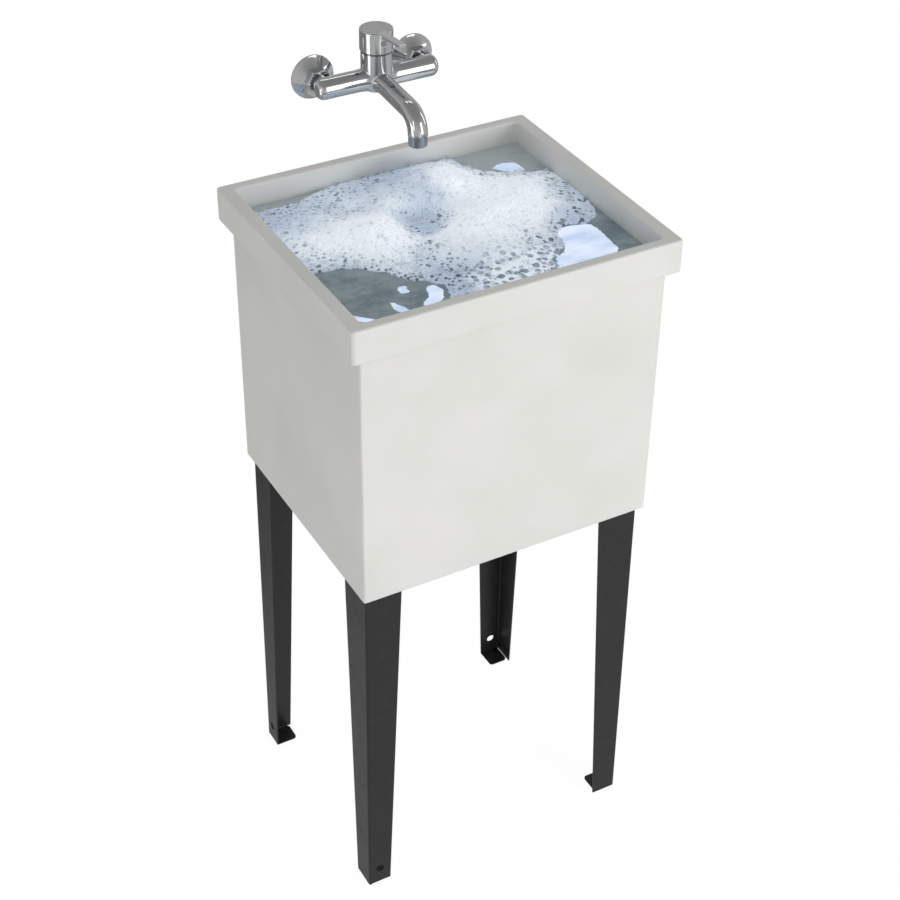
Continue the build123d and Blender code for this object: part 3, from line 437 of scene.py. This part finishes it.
class Pattern(Nodes):
    """A Geometry Nodes tree that makes what repeats or winds, with its sizes as named inputs."""

    def __init__(self, name, **sizes):
        super().__init__(bpy.data.node_groups.new(name, "GeometryNodeTree"))
        self.name = name
        self.sizes = sizes
        panel = self.tree.interface
        panel.new_socket("Geometry", in_out="INPUT", socket_type="NodeSocketGeometry")
        panel.new_socket("Geometry", in_out="OUTPUT", socket_type="NodeSocketGeometry")
        for size, value in sizes.items():
            kind = "NodeSocketInt" if isinstance(value, int) else "NodeSocketFloat"
            panel.new_socket(size, in_out="INPUT", socket_type=kind)
        self.given = self.tree.nodes.new("NodeGroupInput")

    def size(self, name):
        """One of the tree's inputs by its name."""
        return Field(self, self.given.outputs[name])

    def swept(self, line, radius, sides):
        """A rod of that radius along a line."""
        inputs = {"Resolution": sides, "Radius": radius}
        outline = self.add("GeometryNodeCurvePrimitiveCircle", inputs=inputs)
        inputs = {"Curve": line, "Profile Curve": outline, "Fill Caps": True}
        return self.add("GeometryNodeCurveToMesh", inputs=inputs)

    def moved(self, shape, place, turn=(0.0, 0.0, 0.0)):
        inputs = {"Geometry": shape, "Translation": place, "Rotation": turn}
        return self.add("GeometryNodeTransform", inputs=inputs)

    def grow(self, result, finish, ground=None):
        """The plain mesh that the tree makes, on the ground mesh if one is given."""
        real = self.add("GeometryNodeRealizeInstances", inputs={0: result})
        coated = self.add("GeometryNodeSetMaterial", inputs={"Geometry": real, "Material": finish})
        self.add("NodeGroupOutput", inputs={0: coated})
        start = ground or bpy.data.meshes.new(self.name)
        carrier = bpy.data.objects.new(self.name + "_pattern", start)
        bpy.context.scene.collection.objects.link(carrier)
        modifier = carrier.modifiers.new(self.name, "NODES")
        modifier.node_group = self.tree
        for item in self.tree.interface.items_tree:
            if item.in_out == "INPUT" and item.name in self.sizes:
                modifier[item.identifier] = self.sizes[item.name]
        bpy.context.view_layer.update()
        seen_by = bpy.context.evaluated_depsgraph_get()
        mesh = bpy.data.meshes.new_from_object(carrier.evaluated_get(seen_by))
        bpy.data.objects.remove(carrier)
        piece = bpy.data.objects.new(self.name, mesh)
        bpy.context.scene.collection.objects.link(piece)
        return piece


def screw_thread(name, foot, turn, thread, length, finish):
    """A thread's ridge, wound round an axis that starts at foot and runs along z before the
    turn."""
    radius, pitch, ridge = thread
    tree = Pattern(name, Radius=radius, Pitch=pitch, Turns=length / pitch, Ridge=ridge)
    winding = tree.add(
        "GeometryNodeCurveSpiral",
        inputs={
            "Resolution": 40,
            "Rotations": tree.size("Turns"),
            "Start Radius": tree.size("Radius"),
            "End Radius": tree.size("Radius"),
            "Height": tree.size("Pitch") * tree.size("Turns"),
        },
    )
    placed = tree.moved(tree.swept(winding, tree.size("Ridge"), 4), foot, turn)
    return tree.grow(placed, finish)


def wire_screen(name, centre, finish):
    """The wire screen across the aerator's mouth: two layers of wires that cross, cut to a
    circle."""
    count = int(2 * SCREEN_RADIUS / SCREEN_MESH)
    tree = Pattern(name, Radius=SCREEN_RADIUS, Gap=SCREEN_MESH, Wire=SCREEN_WIRE, Wires=count)
    ends = {"Start": (-0.5, 0.0, 0.0), "End": (0.5, 0.0, 0.0)}
    line = tree.add("GeometryNodeCurvePrimitiveLine", inputs=ends)
    one = tree.swept(line, tree.size("Wire"), 5)
    step = tree.add("ShaderNodeCombineXYZ", inputs={"Y": tree.size("Gap")})
    start = tree.add("ShaderNodeCombineXYZ", inputs={"Y": tree.size("Gap") * (0.5 * (1 - count))})
    inputs = {"Count": tree.size("Wires"), "Start Location": start, "Offset": step}
    row = tree.add("GeometryNodeMeshLine", inputs=inputs)
    across = tree.part_of(tree.add("GeometryNodeInputPosition"), "Y")
    reach = 2.0 * tree.math("SQRT", tree.size("Radius") ** 2.0 - across * across)
    stretch = tree.add("ShaderNodeCombineXYZ", inputs={"X": reach, "Y": 1.0, "Z": 1.0})
    inputs = {"Points": row, "Instance": one, "Scale": stretch}
    layer = tree.add("GeometryNodeInstanceOnPoints", inputs=inputs)
    first = tree.moved(layer, centre)
    above = centre + Vector((0.0, 0.0, 2 * SCREEN_WIRE))
    second = tree.moved(layer, above, (0.0, 0.0, math.pi / 2))
    both = tree.add("GeometryNodeJoinGeometry", inputs={0: [first, second]})
    return tree.grow(both, finish)


def fit_to(piece, body):
    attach(piece, body)


# The threads that the plain solids leave out, and the aerator's screen.
upright = (0.0, 0.0, 0.0)
towards_wall = (-math.pi / 2, 0.0, 0.0)

barrel_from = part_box("tailpiece_nut")[1].z + BARREL_GAP
barrel_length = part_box("drain_locknut")[0].z - BARREL_GAP - barrel_from
strainer_x, strainer_y, _ = middle_of("drain_strainer")
barrel_foot = (strainer_x, strainer_y, barrel_from)
steel, chrome = finishes["drain_steel"], finishes["chrome"]
fit_to(
    screw_thread("strainer_thread", barrel_foot, upright, BARREL_THREAD, barrel_length, steel),
    "sink",
)
for hand in ("left", "right"):
    cover_x, _, cover_z = middle_of("rosette_" + hand)
    pipe_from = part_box("rosette_" + hand)[1].y + PIPE_GAP
    pipe_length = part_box("union_" + hand)[1].y - PIPE_GAP - pipe_from
    pipe_foot = (cover_x, pipe_from, cover_z)
    name = "wall_thread_" + hand
    fit_to(
        screw_thread(name, pipe_foot, towards_wall, PIPE_THREAD, pipe_length, chrome),
        "sink",
    )
mouth_x, mouth_y, _ = middle_of("aerator_housing")
mouth = Vector((mouth_x, mouth_y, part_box("aerator_housing")[0].z + SCREEN_DEPTH))
fit_to(wire_screen("aerator_screen", mouth, finishes["zinc_steel"]), "sink")


# --- water and suds: staging, not part of the sink ---------------------------------------------


def water_surface():
    """Grey, clouded water with low ripples, made paler towards the back by a painted reflection of
    the back wall, and with painted specks of reflected light.
    """
    skin = Finish("wash_water", IOR=1.33, Roughness=0.05)
    spot = skin.place()
    murk = skin.cloud(skin.place((1.0, 1.7, 1.0)), 22.0, 6.0, 0.68)
    # Painted reflection: pale specks of reflected light.
    reflected_specks = skin.step(skin.cloud(spot, 150.0, 4.0, 0.7), 0.6, 0.72)
    # Painted reflection: the water is paler towards the back, where it mirrors the back wall.
    painted_back_reflection = skin.step(skin.part_of(spot, "Y"), -0.02, 0.13) * 0.8
    clouded = skin.step(murk, 0.36, 0.64) * 0.6
    grey = skin.blend(clouded + painted_back_reflection, colour(134, 154, 164), colour(196, 207, 210))
    ripples = skin.cloud(spot, 26.0, 2.0)
    return skin.wear(
        Base_Color=skin.blend(reflected_specks * 0.4, grey, colour(205, 216, 222)),
        Normal=skin.relief(ripples, 0.004, 0.3),
    )


def sky_glint():
    """Where the water shows the pale sky of a window."""
    skin = Finish("sky_glint", Roughness=0.05, Emission_Strength=0.62)
    drift = skin.cloud(skin.place((1.0, 2.4, 1.0)), 16.0, 3.0)
    sky = skin.blend(skin.step(drift, 0.35, 0.65), colour(184, 203, 232), colour(216, 227, 244))
    return skin.wear(Base_Color=sky, Emission_Color=sky)


def foam_skin():
    """Suds: white and cloudy where they are deep, open bubbles where they are thin, and a clear
    sheet of them in front. They glow a little as painted light, and painted shade makes them grey
    away from their lit spots."""
    # The suds glow a little in their own colour: painted light.
    skin = Finish("suds", IOR=1.33, Roughness=0.45, Emission_Strength=0.39)
    spot = skin.place()
    deep = skin.step(skin.sample("depth"), 0.1, 0.6)
    sheet = skin.sample("sheet")
    patchy = skin.cloud(spot, 34.0, 3.0)
    large = skin.cells(spot, 84.0)
    middle = skin.cells(spot, 150.0)
    small = skin.cells(spot, 260.0)
    fine = skin.cells(spot, 620.0)
    mouths = skin.step(large, 0.34, 0.2) * skin.step(skin.cloud(spot, 58.0, 2.0), 0.48, 0.56)
    holes = skin.step(middle, 0.4, 0.24) * skin.step(patchy, 0.38, 0.5)
    pits = skin.step(small, 0.42, 0.16) * skin.step(patchy, 0.62, 0.42)
    rims = skin.step(skin.cells(spot, 104.0), 0.34, 0.52)
    froth = skin.step(skin.cloud(spot, 90.0, 3.0, 0.6), 0.52, 0.64)
    drift = skin.cloud(spot, 17.0, 4.0, 0.62) - 0.5
    # Painted shade: grey-blue where the painted light of the white spots is low.
    painted_shade = skin.step(1.0 - skin.sample("white") + drift * 1.3, 0.1, 1.05)
    open_share = (1.0 - deep * 0.72) * (0.55 + painted_shade * 0.7)
    dark = (mouths + holes * 0.85 + pits * 0.5) * open_share + skin.step(fine, 0.3, 0.1) * 0.12
    white = skin.blend(painted_shade, colour(242, 249, 255), colour(184, 199, 219))
    webbed = skin.blend(sheet * rims * (1.0 - mouths), white, colour(234, 243, 252))
    shown = skin.blend(dark * (1.0 - sheet * rims), webbed, colour(84, 103, 115))
    clear = sheet * (1.0 - rims) * (1.0 - froth) * 0.8 + mouths * open_share * 0.6
    return skin.wear(
        Base_Color=shown,
        Emission_Color=shown,
        Alpha=1.0 - clear,
        Normal=skin.relief(small + middle + fine * 0.5 + patchy * 3.0, 0.0018, 0.6),
    )


def bubble_film():
    """The clear skin of single bubbles."""
    skin = Finish("bubble_film", IOR=1.4, Roughness=0.04, Alpha=0.3)
    tone = skin.cloud(skin.place(), 150.0, 2.0)
    return skin.wear(Base_Color=skin.blend(tone, colour(226, 236, 244), colour(250, 250, 252)))


def mesh_piece(name, points, faces, material):
    mesh = bpy.data.meshes.new(name)
    mesh.from_pydata(points, [], faces)
    mesh.materials.append(material)
    mesh.polygons.foreach_set("use_smooth", [True] * len(faces))
    piece = bpy.data.objects.new(name, mesh)
    bpy.context.scene.collection.objects.link(piece)
    return piece


def rectangle(name, centre_y, half_width, half_depth, level, material):
    """A level rectangle whose middle is at x = 0."""
    corners = ((-1, -1), (1, -1), (1, 1), (-1, 1))
    points = [(sx * half_width, centre_y + sy * half_depth, level) for sx, sy in corners]
    return mesh_piece(name, points, [(0, 1, 2, 3)], material)


def grid_faces(columns, rows):
    """The squares of a grid whose points are counted row by row."""
    firsts = [row * columns + column for row in range(rows - 1) for column in range(columns - 1)]
    return [(first, first + 1, first + columns + 1, first + columns) for first in firsts]


# The outline of the suds on the water, in millimetres.
SUDS_EDGE = [
    (-199, 138), (-153, 137), (-127, 138), (-98, 148), (-70, 156), (60, 156), (100, 150),
    (106, 118), (119, 105), (138, 91), (162, 79), (187, 71), (199, 50), (199, -12), (192, -42),
    (184, -60), (171, -70), (144, -64), (122, -68), (118, -85), (110, -107), (84, -125),
    (88, -186), (-70, -186), (-56, -113), (-71, -98), (-84, -93), (-94, -78), (-103, -60),
    (-118, -48), (-132, -35), (-146, -27), (-199, -24),
]
# Their heaps, in millimetres: place, reach and height.
HEAPS = [
    (30, 74, 80, 20), (-42, 66, 62, 8), (62, 108, 66, 9), (98, 4, 94, 17), (-84, 6, 72, 20),
    (-150, 70, 80, 8), (24, -46, 80, 12), (-14, 22, 50, -10), (30, 32, 42, -7),
    (-60, 125, 80, 4), (20, 146, 80, 4),
]
# Where painted light makes them whitest, and painted shade greyest where the share is less than 0:
# place, reach and share.
PAINTED_LIGHT_SPOTS = [
    (94, 6, 72, 1.0), (-84, -2, 52, 1.1), (18, -46, 58, 0.65), (72, 92, 48, 0.8),
    (-14, 62, 40, 0.4), (150, 56, 44, 0.5), (-156, 30, 50, 0.5), (-100, 112, 60, 0.3),
    (-10, 22, 30, -0.8),
]
# The clear sheet of large bubbles, in millimetres: place, half width and half depth.
SHEET = (50, -142, 92, 58)
# The grid that the suds are made on, and how much of the basin it takes in.
SUDS_COLUMNS, SUDS_ROWS = 270, 230
BASIN_SHARE = 0.998
# How far their outline wanders, and how far in from it they reach their full height.
RAGGED_EDGE = 0.006
EDGE_WIDTH = 0.03
# Their least height there, how much froth adds to it, and how far under the water they dip
# outside their outline.
LEAST_HEIGHT = 0.0035
FROTH_HEIGHT = 0.0008
SUNK = -0.004
# The height that counts as deep, and those between which they get less thin.
DEEP = 0.022
THIN = (0.004, 0.009)


def edge_distance(x, y):
    """How far inside the suds' outline each spot is, and less than 0 outside it."""
    inside = np.zeros(x.shape, bool)
    nearest = np.full(x.shape, 1.0)
    outline = np.array(SUDS_EDGE) * MM
    for (ax, ay), (bx, by) in zip(outline, np.roll(outline, -1, axis=0)):
        run, climb = bx - ax, by - ay
        if climb:
            inside ^= ((ay > y) != (by > y)) & (x < run * (y - ay) / climb + ax)
        share = np.clip(((x - ax) * run + (y - ay) * climb) / (run**2 + climb**2), 0.0, 1.0)
        nearest = np.minimum(nearest, np.hypot(x - ax - share * run, y - ay - share * climb))
    return np.where(inside, nearest, -nearest)


def roughness_of(x, y, scale):
    """Even noise between about -1 and 1 at each spot."""
    spots = np.stack([x, y, np.zeros(x.shape)], axis=-1).reshape(-1, 3) * scale
    return np.array([noise.noise(Vector(spot)) for spot in spots]).reshape(x.shape)


def suds_height(x, y):
    """How far the suds stand above the water at each spot."""
    ragged = edge_distance(x, y) + RAGGED_EDGE * roughness_of(x, y, 60.0)
    rise = np.sqrt(np.clip(ragged / EDGE_WIDTH, 0.0, 1.0))
    heaped = np.full(x.shape, LEAST_HEIGHT)
    for heap_x, heap_y, reach, height in HEAPS:
        away = np.hypot(x - heap_x * MM, y - heap_y * MM) / (reach * MM)
        heaped += height * MM * np.clip(1.0 - away**2, 0.0, 1.0) ** 2
    heaped = np.maximum(heaped, LEAST_HEIGHT)
    lumps = 1.0 + 0.36 * roughness_of(x, y, 15.0) + 0.12 * roughness_of(x, y, 42.0)
    froth = FROTH_HEIGHT * (1.0 + roughness_of(x, y, 150.0))
    return np.where(ragged < 0.0, SUNK, rise * heaped * lumps + froth)


def suds():
    """The suds on the water, as one sheet that dips below the water where there are none."""
    half_width, half_depth = BASIN_HALF_WIDTH * BASIN_SHARE, BASIN_HALF_DEPTH * BASIN_SHARE
    across = half_width * np.linspace(-1.0, 1.0, SUDS_COLUMNS)
    front_to_back = BASIN_CENTRE_Y + half_depth * np.linspace(-1.0, 1.0, SUDS_ROWS)
    x, y = np.meshgrid(across, front_to_back)
    height = suds_height(x, y)
    points = np.stack([x, y, WATER_LEVEL + height], axis=-1).reshape(-1, 3).tolist()
    piece = mesh_piece("suds", points, grid_faces(SUDS_COLUMNS, SUDS_ROWS), foam_skin())
    thin = np.clip((THIN[1] - height) / (THIN[1] - THIN[0]), 0.0, 1.0) * (height > 0.0)
    # white: how much painted light falls on each spot, less than 0 where painted shade falls.
    white = sum(
        share * np.exp(-(((x - spot_x * MM) ** 2 + (y - spot_y * MM) ** 2) / (reach * MM) ** 2))
        for spot_x, spot_y, reach, share in PAINTED_LIGHT_SPOTS
    )
    sheet_x, sheet_y, reach_x, reach_y = SHEET
    off_middle = ((x / MM - sheet_x) / reach_x) ** 2 + ((y / MM - sheet_y) / reach_y) ** 2
    sheet = np.clip(1.6 * (1.0 - off_middle) + 0.5 * roughness_of(x, y, 60.0), 0.0, 1.0)
    kept = {"depth": height / DEEP, "thin": thin, "white": np.minimum(white, 1.0), "sheet": sheet}
    for name, values in kept.items():
        piece.data.attributes.new(name, "FLOAT", "POINT").data.foreach_set("value", values.ravel())
    return piece


def loose_bubbles(ground):
    """Single bubbles that lie where the suds are thin."""
    tree = Pattern("bubbles", Crowd=20000.0, Smallest=1.0 * MM, Largest=5.0 * MM, Seed=7)
    thin = tree.add("GeometryNodeInputNamedAttribute", {"data_type": "FLOAT"}, {"Name": "thin"})
    density, seed = tree.size("Crowd") * thin, tree.size("Seed")
    inputs = {"Mesh": tree.size("Geometry"), "Density": density, "Seed": seed}
    spots = tree.add("GeometryNodeDistributePointsOnFaces", inputs=inputs)
    inputs = {2: 0.0, 3: 1.0, "Seed": seed}
    luck = tree.add("FunctionNodeRandomValue", {"data_type": "FLOAT"}, inputs, 1)
    radius = tree.size("Smallest") + (tree.size("Largest") - tree.size("Smallest")) * luck**3.0
    ball = tree.add("GeometryNodeMeshIcoSphere", inputs={"Radius": 1.0, "Subdivisions": 2})
    round_ball = tree.add("GeometryNodeSetShadeSmooth", inputs={0: ball})
    inputs = {"Points": spots, "Instance": round_ball, "Scale": radius}
    balls = tree.add("GeometryNodeInstanceOnPoints", inputs=inputs)
    return tree.grow(balls, bubble_film(), ground.data.copy())


# The outlines of the bright patches on the water, in millimetres.
GLINTS = [
    [(121, -68), (133, -64), (168, -71), (170, -90), (167, -137), (158, -148), (150, -180),
     (84, -180), (84, -125), (109, -113), (116, -89)],
    [(133, 108), (150, 112), (168, 107), (170, 84), (156, 80), (141, 95)],
    [(-77, -109), (-67, -108), (-62, -124), (-70, -141), (-96, -148), (-99, -140), (-84, -131)],
    [(-108, -95), (-96, -95), (-99, -111), (-109, -110)],
    [(-128, -118), (-116, -142), (-122, -152), (-132, -138)],
    [(-180, -124), (-170, -134), (-158, -146), (-166, -149), (-182, -136)],
]
# Where along each side the corners are cut off, the distance between the points of an edge in
# millimetres, and how far the patches lie above the water.
CORNER_CUTS = (0.18, 0.82)
GLINT_STEP = 2.5
GLINT_RISE = 0.15 * MM


def sides_of(outline):
    """The two ends of each side, all the way round."""
    return zip(outline, outline[1:] + outline[:1])


def along(start, end, share):
    """The spot that lies that share of the way from start to end."""
    return start[0] + (end[0] - start[0]) * share, start[1] + (end[1] - start[1]) * share


def glint(name, outline, material):
    """One bright patch on the water, with its corners cut off and a wavy edge."""
    rounded = [along(*side, share) for side in sides_of(outline) for share in CORNER_CUTS]
    points = []
    for start, end in sides_of(rounded):
        steps = max(1, int(math.dist(start, end) / GLINT_STEP))
        for step in range(steps):
            spot = Vector((*along(start, end, step / steps), 0.0))
            wobble = noise.noise(spot * 0.16) * 1.9 + noise.noise(spot * 0.5) * 1.1
            x, y = (spot.x + wobble) * MM, (spot.y - wobble) * MM
            points.append((x, y, WATER_LEVEL + GLINT_RISE))
    return mesh_piece(name, points, [tuple(range(len(points)))], material)


basin = (BASIN_CENTRE_Y, BASIN_HALF_WIDTH, BASIN_HALF_DEPTH)
water = rectangle("water", *basin, WATER_LEVEL, water_surface())
sky = sky_glint()
glints = [glint("glint_%d" % index, outline, sky) for index, outline in enumerate(GLINTS)]
foam = suds()
loose_bubbles(foam)


# --- floor, light and camera -------------------------------------------------------------------

FLOOR_HALF_WIDTH = 12.0
WHITE = (1.0, 1.0, 1.0, 1.0)


def glow(nodes, level):
    return nodes.add("ShaderNodeEmission", inputs={"Color": WHITE, "Strength": level})


def pale_floor():
    """A white floor that keeps the sink's soft shadow. Polished metal shows it paler in front than
    behind, and a view from below looks through it."""
    material = bpy.data.materials.new("pale_floor")
    material.use_nodes = True
    nodes = Nodes(material.node_tree)
    nodes.tree.nodes.clear()
    matt = nodes.add("ShaderNodeBsdfDiffuse", inputs={"Color": (0.86, 0.86, 0.86, 1.0)})
    seen = nodes.add("ShaderNodeLightPath", output="Is Camera Ray")
    mirrored = nodes.add("ShaderNodeLightPath", output="Is Glossy Ray")
    front = nodes.step(nodes.part_of(nodes.place(), "Y"), 0.9, 0.1)
    inputs = {0: front, 1: glow(nodes, 0.26), 2: glow(nodes, 0.58)}
    sweep = nodes.add("ShaderNodeMixShader", inputs=inputs)
    lit = nodes.add("ShaderNodeMixShader", inputs={0: mirrored, 1: matt, 2: sweep})
    shown = nodes.add("ShaderNodeMixShader", inputs={0: seen * 0.85, 1: lit, 2: glow(nodes, 1.1)})
    below = nodes.add("ShaderNodeNewGeometry", output="Backfacing")
    gone = nodes.add("ShaderNodeBsdfTransparent")
    surface = nodes.add("ShaderNodeMixShader", inputs={0: below, 1: shown, 2: gone})
    nodes.add("ShaderNodeOutputMaterial", inputs={"Surface": surface})
    return material


def sky_glow(room, level):
    return room.add("ShaderNodeBackground", inputs={"Color": WHITE, "Strength": level})


def studio():
    """The room: white behind the sink, and darker upwards where polished metal shows it."""
    world = bpy.data.worlds.new("studio")
    world.use_nodes = True
    room = Nodes(world.node_tree)
    room.tree.nodes.clear()
    height = room.part_of(room.add("ShaderNodeTexCoord", output="Generated"), "Z")
    seen = room.add("ShaderNodeLightPath", output="Is Camera Ray")
    mirrored = room.add("ShaderNodeLightPath", output="Is Glossy Ray")
    inputs = {0: room.step(height, 0.05, 0.85), 1: sky_glow(room, 0.56), 2: sky_glow(room, 0.3)}
    walls = room.add("ShaderNodeMixShader", inputs=inputs)
    lit = room.add("ShaderNodeMixShader", inputs={0: mirrored, 1: sky_glow(room, 0.5), 2: walls})
    shown = room.add("ShaderNodeMixShader", inputs={0: seen, 1: lit, 2: sky_glow(room, 1.0)})
    room.add("ShaderNodeOutputWorld", inputs={"Surface": shown})
    return world


def panel(name, place, target, width, height, brightness):
    """A flat lamp of that width and height, aimed at a point. Its face looks as bright as a white
    of that strength."""
    lamp = bpy.data.lights.new(name, "AREA")
    lamp.shape = "RECTANGLE"
    lamp.size = width
    lamp.size_y = height
    lamp.energy = brightness * math.pi * width * height
    box = bpy.data.objects.new(name, lamp)
    box.location = place
    box.rotation_euler = (Vector(target) - Vector(place)).to_track_quat("-Z", "Y").to_euler()
    box.visible_camera = False
    bpy.context.scene.collection.objects.link(box)
    return box


floor = rectangle("floor", 0.0, FLOOR_HALF_WIDTH, FLOOR_HALF_WIDTH, 0.0, pale_floor())
bpy.context.scene.world = studio()

# What lights the sink, and is too bright for polished metal to show.
for lamp in (
    panel("front_light", (1.5, -3.5, 1.1), (0.0, 0.0, 0.65), 1.6, 1.6, 7.1),
    panel("low_left_light", (-2.2, -0.7, 0.3), (0.0, 0.0, 0.5), 1.2, 0.5, 3.4),
):
    lamp.visible_glossy = False
# What polished metal shows: white panels round the sink, down to the floor.
for lamp in (
    panel("front_panel", (1.6, -3.4, 1.55), (0.0, 0.0, 0.9), 1.5, 2.9, 1.8),
    panel("left_panel", (-2.6, -1.2, 1.6), (0.0, 0.1, 1.0), 0.35, 1.6, 1.8),
    panel("right_panel", (2.4, -0.2, 1.7), (0.0, 0.1, 1.0), 0.35, 1.6, 1.8),
    panel("back_top_panel", (0.25, 1.3, 2.8), (0.0, 0.15, 1.05), 1.5, 0.4, 1.3),
    panel("low_left_panel", (-1.25, 0.0, 0.55), (0.0, 0.15, 0.6), 0.5, 1.05, 1.5),
    panel("low_front_panel", (-0.03, -1.2, 0.5), (0.0, 0.15, 0.6), 0.07, 0.95, 1.8),
):
    lamp.visible_diffuse = False

# The camera: what it is aimed at, how far it is turned, lifted and tilted, how far away it stands,
# and its lens.
AIM = Vector((0.01121, -0.015, 0.56063))
TURN, LIFT, ROLL = math.radians(-29.46), math.radians(36.37), math.radians(0.91)
DISTANCE = 2.41571
SENSOR_WIDTH, FOCAL_LENGTH = 36.0, 74.24

level = math.cos(LIFT)
back = Vector((math.sin(TURN) * level, -math.cos(TURN) * level, math.sin(LIFT)))
side = (-back).cross(Vector((0.0, 0.0, 1.0))).normalized()
rise = side.cross(-back)
right = math.cos(ROLL) * side + math.sin(ROLL) * rise
up = math.cos(ROLL) * rise - math.sin(ROLL) * side
lens = bpy.data.cameras.new("camera")
lens.sensor_width = SENSOR_WIDTH
lens.lens = FOCAL_LENGTH
camera = bpy.data.objects.new("camera", lens)
facing = Matrix((right, up, back)).transposed().to_4x4()
camera.matrix_world = Matrix.Translation(AIM + back * DISTANCE) @ facing
bpy.context.scene.collection.objects.link(camera)
bpy.context.scene.camera = camera
bpy.context.scene.view_settings.view_transform = "Standard"
